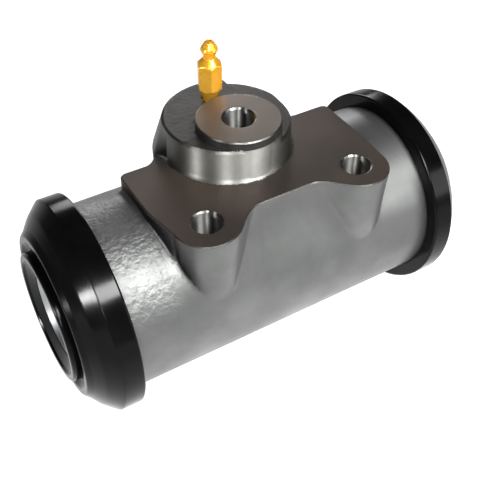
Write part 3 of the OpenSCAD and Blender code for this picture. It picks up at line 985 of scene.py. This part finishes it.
def rounded_section(corners: Sequence[Corner], turn: float = 15.0, run: float = 1.5,
                    most: float = 0.49) -> tuple[Array, Array]:
    """Rounds the corners of a closed section and spaces points along its straight runs.

    Args:
        corners: The corners, counter-clockwise when x is drawn to the right and r up.
        turn: The widest angle between points of a round, in degrees.
        run: The widest gap between points of a straight run, in millimetres.
        most: The largest share of a side that a round takes.

    Returns:
        The points as rows of x and r, and the outward normal at each.
    """
    tips = np.array([(c.x, c.r) for c in corners])
    points, normals = [], []
    for i, corner in enumerate(corners):
        back, ahead = tips[i - 1] - tips[i], tips[(i + 1) % len(tips)] - tips[i]
        gaps = np.linalg.norm(back), np.linalg.norm(ahead)
        back, ahead = back / gaps[0], ahead / gaps[1]
        half = math.acos(max(-1.0, min(1.0, float(back @ ahead)))) / 2
        reach = min(corner.rounding / math.tan(half), most * min(gaps))
        radius = reach * math.tan(half)
        middle = (back + ahead) / np.linalg.norm(back + ahead)
        centre = tips[i] + middle * radius / math.sin(half)
        bulge = 1.0 if ahead[0] * back[1] - ahead[1] * back[0] > 0 else -1.0
        start = tips[i] + back * reach - centre
        sweep = bulge * (math.pi - 2 * half)
        steps = max(2, math.ceil(math.degrees(abs(sweep)) / turn) + 1)
        for angle in np.linspace(0, sweep, steps):
            c, s = math.cos(angle), math.sin(angle)
            spoke = np.array([c * start[0] - s * start[1], s * start[0] + c * start[1]])
            points.append(centre + spoke)
            normals.append(bulge * spoke / radius)
    full, slopes = [], []
    for i, (point, normal) in enumerate(zip(points, normals)):
        ahead = points[(i + 1) % len(points)]
        split = max(1, math.ceil(np.linalg.norm(ahead - point) / run))
        for share in np.arange(split) / split:
            full.append(point + (ahead - point) * share)
            slopes.append(normal + (normals[(i + 1) % len(normals)] - normal) * share)
    return np.array(full), np.array(slopes)


@dataclass
class Boot:
    """A rubber dust boot: bead in the barrel's groove, band, flank, shoulder, hollow and hub."""

    bore: BoreLine
    side: Side
    spokes: int = 160
    # Radii, and places past the barrel's end: band and its bore, with the bead in the barrel's groove
    band_r: float = 39.2
    band_w: float = 7.0
    band_over: float = 0.6
    bore_r: float = 34.15
    bore_over: float = 1.0
    bead_r: float = 32.15
    bead_in: float = -6.35
    bead_out: float = -2.65
    # Flank, with its bend, and shoulder
    flank_r: float = 38.1
    flank_over: float = 1.8
    flank_t: float = 3.2
    bend_r: float = 34.9
    bend_over: float = 5.2
    shoulder_r: float = 31.2
    shoulder_over: float = 8.0
    shoulder_nose: float = 1.8
    # Hollow, hub and mouth, and the lip in the groove of the piston's nose
    hollow_depth: float = 3.4
    hub_r: float = 23.7
    hub_over: float = 12.0
    rim_r: float = 21.2
    mouth_r: float = 20.5
    mouth_over: float = 11.1
    throat_r: float = 16.25
    throat_over: float = 9.0
    lip_r: float = 15.25
    lip_in: float = 3.95
    lip_out: float = 7.05
    nose_r: float = 17.65
    # Where the rubber would stop following the barrel and start following the piston, from the barrel's
    # end; build works these places out but nothing uses them
    stretch_from: float = 0.5
    stretch_to: float = 7.0

    def section(self) -> list[Corner]:
        """Draws half the boot's section.

        Returns:
            Its corners, with their places measured from the barrel's middle.
        """
        nose = self.shoulder_over + self.shoulder_nose
        drawn = [
            # Inside of the band
            (self.bore_r, -self.band_w, 0.3), (self.bore_r, self.bead_in, 0.1),
            (self.bead_r, self.bead_in, 0.3), (self.bead_r, self.bead_out, 0.3),
            (self.bore_r, self.bead_out, 0.1), (self.bore_r, self.bore_over, 1.0),
            # Inside of the flank and of the hub
            (self.shoulder_r - self.flank_t, self.shoulder_over - self.flank_t, 2.0),
            (self.nose_r, self.lip_in, 0.5), (self.lip_r, self.lip_in, 0.4),
            (self.lip_r, self.lip_out, 0.4), (self.throat_r, self.lip_out, 0.15),
            (self.throat_r, self.throat_over, 0.8),
            # Mouth, hub and hollow
            (self.mouth_r, self.mouth_over, 1.6), (self.rim_r, self.hub_over, 0.6),
            (self.hub_r, self.hub_over, 1.1), (self.hub_r, nose - self.hollow_depth, 1.3),
            (self.hub_r + self.hollow_depth, nose, 0.9),
            # Shoulder, flank and outside of the band
            (self.shoulder_r - self.shoulder_nose, nose, 1.2), (self.shoulder_r, self.shoulder_over, 1.3),
            (self.bend_r, self.bend_over, 9.0), (self.flank_r, self.flank_over, 1.0),
            (self.band_r, self.band_over, 0.6), (self.band_r, -self.band_w, 0.8)]
        return [Corner(r, self.bore.half + over, rounding) for r, over, rounding in drawn]

    def build(self) -> Object:
        """Turns the section about the bore and puts the boot in place of the frame's boot.

        Returns:
            The boot.
        """
        section, slopes = rounded_section(self.section())
        angles = np.arange(self.spokes)[:, None] * math.tau / self.spokes
        vertices, normals = (
            np.stack([np.broadcast_to(x * self.side, (self.spokes, len(section))),
                      r * np.cos(angles), r * np.sin(angles)], -1)
            for x, r in (section.T, slopes.T))
        vertices = vertices + np.array([self.bore.middle, self.bore.y, self.bore.z])
        faces = grid_quads(self.spokes, len(section), closed=True)[:, ::self.side.value]
        piece = make_object(
            f"{self.side.word}_dust_boot", vertices, faces, normals.reshape(-1, 3)[faces], [BOOT_RUBBER])
        start, stop = (
            self.bore.point(self.side * (self.bore.half + reach))
            for reach in (self.stretch_from, self.stretch_to))
        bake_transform(piece)
        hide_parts(f"{self.side.word}_boot")
        return piece


@dataclass
class ReturnSpring:
    """The wire spring between the cup expanders, drawn as two halves, one from the middle towards each
    piston.
    """

    bore: BoreLine
    side: Side
    coil_r: float = 11.0
    wire_r: float = 1.2
    half_length: float = 24.75
    # Whole turns from the middle to the closed coil at the end
    coils: int = 3
    closed_gap: float = 0.05
    sides: int = 12
    steps: int = 36

    def advance(self, turn: Array) -> Array:
        """Works out how far the wire has come along the bore.

        Args:
            turn: Turns of the wire from the spring's middle.

        Returns:
            The distances from the middle.
        """
        closed = 2 * self.wire_r + self.closed_gap
        open_run = self.half_length - self.wire_r - closed
        past = turn - self.coils
        return np.where(past < 0, turn * open_run / self.coils, open_run + past * closed)

    def build(self) -> Object:
        """Sweeps the wire along half the helix.

        Returns:
            The half of the spring.
        """
        rings = self.steps * (self.coils + 1) + 1
        turn = np.linspace(0, self.coils + 1, rings)[:, None]
        angle = turn * math.tau
        around = np.arange(self.sides)[None, :] * math.tau / self.sides
        out, over = np.cos(around), np.sin(around)
        reach = self.coil_r + self.wire_r * out
        vertices = np.stack([
            self.bore.middle + self.side * (self.advance(turn) + self.wire_r * over),
            self.bore.y + reach * np.cos(angle), self.bore.z + self.side * reach * np.sin(angle)], -1)
        normals = np.stack([
            np.broadcast_to(self.side * over, (rings, self.sides)),
            out * np.cos(angle), self.side * out * np.sin(angle)], -1).reshape(-1, 3)
        walls = grid_quads(rings, self.sides, closed=False)[:, [0, 3, 2, 1]]
        # The cut ends of the wire are closed by fans of quads, and both lie at the same angle
        step = np.arange(1, self.sides - 1, 2)
        fan = np.stack([np.zeros_like(step), step, step + 1, step + 2], -1)
        last = (fan + (rings - 1) * self.sides)[:, ::-1]
        faces = np.concatenate([walls, fan, last])
        facing = normals[faces]
        facing[-2 * len(fan):-len(fan)] = (0, 0, -self.side)
        facing[-len(fan):] = (0, 0, self.side)
        piece = make_object(f"{self.side.word}_spring_half", vertices, faces, facing, [SPRING_STEEL])
        start, stop = self.bore.point(), self.bore.point(self.side * self.half_length)
        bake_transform(piece)
        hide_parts("return_spring")
        return piece


@dataclass
class BleederScrew:
    """The bleeder: threaded shank, cone, hexagon, shoulder, neck and hose nipple."""

    place: Place
    grid_mm: float = 0.28
    grid_margin: float = 0.6
    # The grid is a little off the middle, where the hexagon's edges and the drillings line up
    grid_shift: float = 0.01
    softness: float = 0.12
    shank_r: float = 3.1
    shank_z: float = -13.05
    seat_r: float = 1.15
    seat_room: float = 3.2
    runout_r: float = 2.6
    runout_h: float = 0.5
    foot_h: float = 4.0
    flat_r: float = 4.0
    hex_h: float = 10.0
    hex_turn: float = math.radians(9)
    hex_chamfer: float = 0.5
    shoulder_h: float = 2.0
    neck_r: float = 2.2
    neck_h: float = 1.1
    nipple_r: float = 3.1
    barb_h: float = 2.0
    barb_flat: float = 0.8
    barb_taper: float = 0.25
    nipple_h: float = 5.2
    tip_r: float = 1.7
    tip_chamfer: float = 0.6
    bore_r: float = 1.0
    bore_floor: float = 0.5
    cross_r: float = 0.9
    thread_pitch: float = 1.0
    thread_depth: float = 0.45
    # Where the thread fades in above the seat and out below the boss's top
    thread_start: float = 0.6
    thread_end: Pair = (-0.9, -1.5)

    def profile(self) -> list[Pair]:
        """Draws half the section of what is turned.

        Returns:
            Radius and height above the boss of each corner, drawn in by the softness of the edges.
        """
        past_axis = -1.0
        hex_top = self.foot_h + self.hex_h
        neck = hex_top + self.shoulder_h
        nipple = neck + self.neck_h
        barb = nipple + self.barb_h
        top = nipple + self.nipple_h
        tip = self.shank_z - self.shank_r + self.seat_r
        soft = self.softness
        corners = [
            (past_axis, tip), (self.seat_r, tip), (self.shank_r, self.shank_z),
            (self.shank_r, -2 * self.runout_h), (self.runout_r, -self.runout_h), (self.runout_r, 0.0),
            (self.flat_r, self.foot_h), (self.flat_r, hex_top), (self.neck_r, neck), (self.neck_r, nipple),
            (self.nipple_r, barb), (self.nipple_r - self.barb_taper, barb + self.barb_flat),
            (self.tip_r, top - self.tip_chamfer), (self.tip_r - self.tip_chamfer, top - soft),
            (past_axis, top - soft)]
        return [(r - soft if r > 0 else r, h) for r, h in corners]

    def shape(self, points: Array) -> Array:
        """Measures from points to the screw.

        Args:
            points: Rows of x, y and z in millimetres from the middle of its seat on the boss.

        Returns:
            The distances, negative inside the steel.
        """
        x, y, z = points.T
        radius = np.hypot(x, y)
        turned = outline_distance(radius, z, self.profile()) - self.softness
        phase = z / self.thread_pitch - np.arctan2(y, x) / math.tau
        crest = np.abs(2 * (phase - np.floor(phase)) - 1)
        threaded = ramp(z, self.shank_z, self.shank_z + self.thread_start) * ramp(z, *self.thread_end)
        turned = turned + self.thread_depth * crest * threaded
        flats = np.full(x.shape, -np.inf)
        for k in range(3):
            angle = self.hex_turn + math.radians(HEX_HALF + 2 * HEX_HALF * k)
            flats = np.maximum(flats, np.abs(x * math.cos(angle) + y * math.sin(angle)) - self.flat_r)
        hex_r = self.flat_r / math.cos(math.radians(HEX_HALF))
        middle = self.foot_h + self.hex_h / 2
        ends = np.abs(z - middle) - self.hex_h / 2
        slope = (hex_r - self.flat_r) / self.hex_chamfer
        cone = (radius - hex_r + (ends + self.hex_chamfer) * slope) / math.hypot(1, slope)
        hexagon = round_cut(flats, np.maximum(cone, ends), self.softness)
        drilled = np.minimum(
            np.maximum(radius - self.bore_r, self.shank_z + self.bore_floor - z),
            np.hypot(y, z - self.shank_z - self.bore_r) - self.cross_r)
        return np.maximum(np.minimum(turned, hexagon), -drilled)

    def build(self) -> Object:
        """Meshes the screw and hangs it on the bleeder's body.

        Returns:
            The bleeder.
        """
        half = self.flat_r / math.cos(math.radians(HEX_HALF)) + self.grid_margin
        top = self.foot_h + self.hex_h + self.shoulder_h + self.neck_h + self.nipple_h
        sides = levels(-half, half, self.grid_mm)
        heights = levels(self.shank_z - self.seat_room, top + self.grid_margin, self.grid_mm)
        vertices, faces, normals = Contour(self.shape, (sides, sides + self.grid_shift, heights)).mesh()
        piece = make_object(
            "bleeder_nipple", vertices + np.array(self.place), faces, normals, [PASSIVATED_STEEL])
        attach(piece, "bleeder")
        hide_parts("bleeder_screw")
        return piece


@dataclass(frozen=True)
class RunningGear:
    """What runs in the bore and keeps its CAD shape: pistons, cups and expanders."""

    bore: BoreLine
    socket_r: float = 12.0
    mouth_r: float = 15.5
    near: float = 0.05
    # Outward part of the normal on a cone, between a round wall's and a flat face's
    cone: Pair = (0.1, 0.9)
    finishes: tuple[tuple[str, Finish], ...] = (
        ("piston", PISTON_ALLOY), ("cup", CUP_RUBBER), ("cup_expander", ZINC_STEEL))

    def dress(self) -> list[str]:
        """Gives each of the frame's inner nodes its finish.

        Returns:
            The names of the dressed nodes.
        """
        dressed = []
        for part, finish in self.finishes:
            material = finish.material()
            for side in Side:
                name = f"{side.word}_{part}"
                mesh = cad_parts[name].data
                mesh.materials.clear()
                mesh.materials.append(material)
                dressed.append(name)
                if finish is PISTON_ALLOY:
                    self.bare_mouth(mesh, side)
        return dressed

    def bare_mouth(self, mesh: Mesh, side: Side) -> None:
        """Gives the cone at a piston's socket mouth a finish of its own.

        Args:
            mesh: The piston's mesh, which keeps its shape.
            side: The end of the barrel that the piston is at.
        """
        mesh.materials.append(BARE_ALLOY.material())
        for face in mesh.polygons:
            reach = math.hypot(face.center.y / MM - self.bore.y, face.center.z / MM - self.bore.z)
            sloped = self.cone[0] < face.normal.x * side < self.cone[1]
            if sloped and self.socket_r - self.near < reach < self.mouth_r + self.near:
                face.material_index = 1


@dataclass(frozen=True)
class Softbox:
    """A soft lamp: the way to it from the part's middle, its distance, sizes and power."""

    name: str
    towards: Place
    distance: float
    width: float
    height: float
    watts: float


@dataclass
class Studio:
    """White floor, soft lamps and the camera at the photograph's angle."""

    bore: BoreLine
    camera_mm: Place = (-114.91, -160.37, 164.48)
    azimuth: float = -31.387
    elevation: float = 43.483
    roll: float = 0.717
    lens: float = 57.9
    sensor: float = 36.0
    clip_start: float = 0.01
    floor_half: float = 6.0
    # Greys of the floor as it lights the part and as it is seen
    floor_grey: float = 0.85
    seen_grey: float = 0.3
    # The floor's own light by distance in metres: mirrored in the part, and seen by the camera
    mirrored_run: Pair = (0.09, 0.18)
    mirrored_light: Pair = (0.95, 0.1)
    seen_run: Pair = (0.3, 0.9)
    seen_light: Pair = (0.8, 1.0)
    # The world's light, and the sweep that reflections see in it: by height and from back to front
    ambient: float = 0.35
    sweep_z: Pair = (0.05, 0.4)
    sweep_y: Pair = (0.3, -0.5)
    sweep_light: Pair = (0.12, 0.5)
    lamps: tuple[Softbox, ...] = (
        Softbox("key_softbox", (0.2, -0.62, 0.76), 0.75, 0.3, 0.19, 12.0),
        Softbox("left_card", (-0.96, -0.16, 0.24), 0.6, 0.08, 0.06, 2.0),
        Softbox("right_card", (0.62, -0.72, 0.3), 0.8, 0.4, 0.3, 2.0),
        Softbox("camera_strip", (-0.42, -0.69, 0.62), 0.7, 0.06, 0.3, 5.0),
        Softbox("back_card", (0.35, 0.85, 0.3), 0.9, 0.5, 0.25, 3.0))

    def camera(self) -> Object:
        """Places the camera.

        Returns:
            The camera, set as the scene's own.
        """
        a, e, r = (math.radians(angle) for angle in (self.azimuth, self.elevation, self.roll))
        back = Vector((math.sin(a) * math.cos(e), -math.cos(a) * math.cos(e), math.sin(e)))
        level = Vector((math.cos(a), math.sin(a), 0))
        right = level * math.cos(r) + back.cross(level) * math.sin(r)
        up = back.cross(right)
        data = bpy.data.cameras.new("photo_camera")
        data.lens = self.lens
        data.sensor_width = self.sensor
        data.clip_start = self.clip_start
        eye = link("photo_camera", data)
        turn = Matrix((right, up, back)).transposed().to_4x4()
        eye.matrix_world = Matrix.Translation(Vector(self.camera_mm) * MM) @ turn
        bpy.context.scene.camera = eye
        return eye

    @staticmethod
    def shown(tree: NodeTree, rays: Sequence[str]) -> NodeSocket:
        """Tells whether a ray is one of several kinds.

        Args:
            tree: The node tree to add to.
            rays: The kinds, as words of the light path's outputs.

        Returns:
            A socket that is 1 for such a ray.
        """
        path = add_node(tree, "LightPath")
        found, *others = (path.outputs[f"Is {ray} Ray"] for ray in rays)
        for other in others:
            found = add_node(tree, "Math", (found, other), operation="MAXIMUM").outputs[0]
        return found

    def floor(self) -> Object:
        """Lays a white floor under the boots, which keeps a soft shadow.

        Returns:
            The floor.
        """
        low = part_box("left_boot")[0].z
        mesh = bpy.data.meshes.new("floor")
        s = self.floor_half
        mesh.from_pydata([(-s, -s, low), (s, -s, low), (s, s, low), (-s, s, low)], [], [(0, 1, 2, 3)])
        material = bpy.data.materials.new("white_sweep")
        tree = blank_tree(material)
        place = add_node(tree, "TexCoord").outputs["Object"]
        away = add_node(tree, "VectorMath", (place,), operation="LENGTH").outputs["Value"]
        # Reflections see the lit part of the floor near the object and a dim room beyond it
        mirrored = add_node(tree, "MapRange", (away, *self.mirrored_run, *self.mirrored_light))
        # The camera sees a floor that turns white away from the object, where no lamp reaches it
        white = add_node(tree, "MapRange", (away, *self.seen_run, *self.seen_light))
        by_camera = self.shown(tree, ("Camera", "Transmission"))
        level = add_node(tree, "Mix", {0: by_camera, 2: mirrored, 3: white})
        plain, faint = (
            add_node(tree, "BsdfDiffuse", {"Color": (grey, grey, grey, 1)})
            for grey in (self.floor_grey, self.seen_grey))
        glow = add_node(tree, "Emission", {"Color": WHITE, "Strength": level})
        lit = add_node(tree, "AddShader", (faint, glow))
        seen = self.shown(tree, ("Camera", "Glossy", "Transmission"))
        mixed = add_node(tree, "MixShader", (seen, plain, lit))
        add_node(tree, "OutputMaterial", {"Surface": mixed})
        mesh.materials.append(material)
        piece = link("floor", mesh)
        return piece

    def surroundings(self) -> None:
        """Fills the world: white to the camera, a low sweep in reflections and grey light elsewhere."""
        world = bpy.data.worlds.new("studio")
        bpy.context.scene.world = world
        tree = blank_tree(world)
        way = add_node(tree, "SeparateXYZ", (add_node(tree, "TexCoord").outputs["Generated"],))
        low = add_node(tree, "MapRange", (way.outputs["Z"], *self.sweep_z, 1.0, 0.0))
        front = add_node(tree, "MapRange", (way.outputs["Y"], *self.sweep_y, *self.sweep_light))
        sweep = add_node(tree, "Math", (low, front), operation="MULTIPLY")
        ambient, mirrored, white = (
            add_node(tree, "Background", {"Color": WHITE, "Strength": strength})
            for strength in (self.ambient, sweep, 1.0))
        glossy = add_node(tree, "MixShader", (self.shown(tree, ("Glossy",)), ambient, mirrored))
        by_camera = self.shown(tree, ("Camera", "Transmission"))
        seen = add_node(tree, "MixShader", (by_camera, glossy, white))
        add_node(tree, "OutputWorld", {"Surface": seen})

    def light(self) -> None:
        """Hangs the lamps, each aimed at the part's middle."""
        for box in self.lamps:
            data = bpy.data.lights.new(box.name, "AREA")
            data.shape = "RECTANGLE"
            data.size, data.size_y, data.energy = box.width, box.height, box.watts
            lamp = link(box.name, data)
            way = Vector(box.towards).normalized()
            lamp.location = self.bore.point() + way * box.distance
            lamp.rotation_mode = "QUATERNION"
            lamp.rotation_quaternion = way.to_track_quat("Z", "Y")

    def build(self) -> None:
        """Sets the whole studio up."""
        bpy.context.scene.view_settings.view_transform = "Standard"
        self.camera()
        self.floor()
        self.surroundings()
        self.light()


def main() -> None:
    """Builds the pieces in order and reports each."""
    logging.basicConfig(level=logging.INFO, format="%(name)s: %(message)s")
    bore = BoreLine.from_frame()
    Studio(bore).build()
    casting = Casting(bore)
    builders = [casting, BleederScrew((*casting.bleed, casting.spigot_h))]
    builders += [Boot(bore, side) for side in Side] + [ReturnSpring(bore, side) for side in Side]
    for builder in builders:
        piece = builder.build()
        LOG.info("%s: %d faces", piece.name, len(piece.data.polygons))
    for name in RunningGear(bore).dress():
        LOG.info("%s: dressed", name)


if __name__ == "__main__":
    main()
